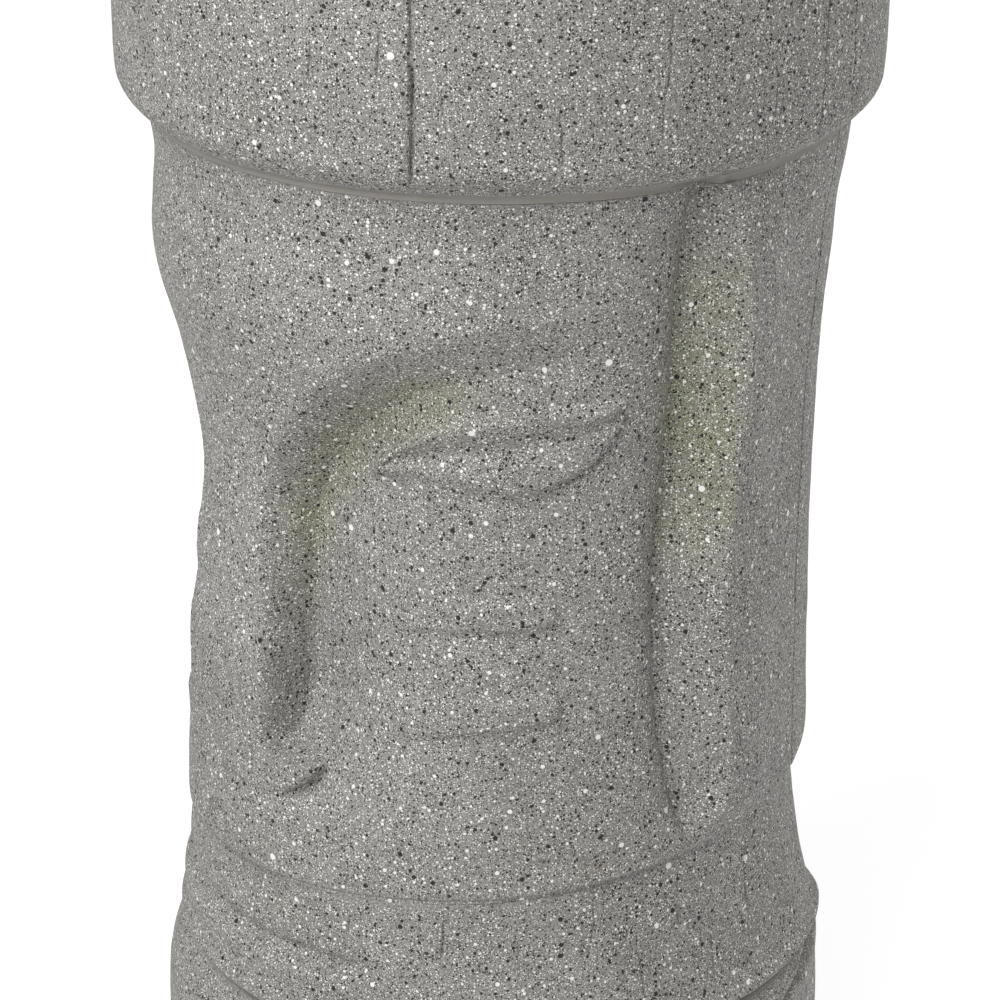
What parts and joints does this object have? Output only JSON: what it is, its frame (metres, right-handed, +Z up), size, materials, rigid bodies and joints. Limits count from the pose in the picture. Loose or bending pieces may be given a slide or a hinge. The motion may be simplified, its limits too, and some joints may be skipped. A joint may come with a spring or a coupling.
{
  "type": "tiki figure",
  "caption": "Hollow column-shaped tiki head in cast speckled concrete: log-like crown, stylised long-nosed face, mouth band and drum base, in doweled sections.",
  "frame": {"origin": "centre of the underside of the base, on the ground", "axes": "+Z up along the column; the nose faces -Y; the figure's own left ear is on +X"},
  "size_m": [0.384, 0.384, 0.73],
  "materials": {
    "concrete": "matt cast lightweight concrete, light grey with white and black speckle and green moss in the recesses",
    "mortar": "rough dark brown-grey bedding mortar, recessed in the joints",
    "tape": "resin-bedded glass-fibre tape",
    "steel": "plain stainless dowel bar"
  },
  "bodies": {
    "root": {"crown": "concrete", "face_shell": "concrete", "back_shell": "concrete", "neck_band": "concrete", "base": "concrete", "crown_joint_mortar": "mortar", "jaw_joint_mortar": "mortar", "base_joint_mortar": "mortar", "head_seam_mortar": "mortar", "head_seam_tape": "tape", "crown_dowels": "steel", "jaw_dowels": "steel", "base_dowels": "steel"}
  },
  "joints": []
}
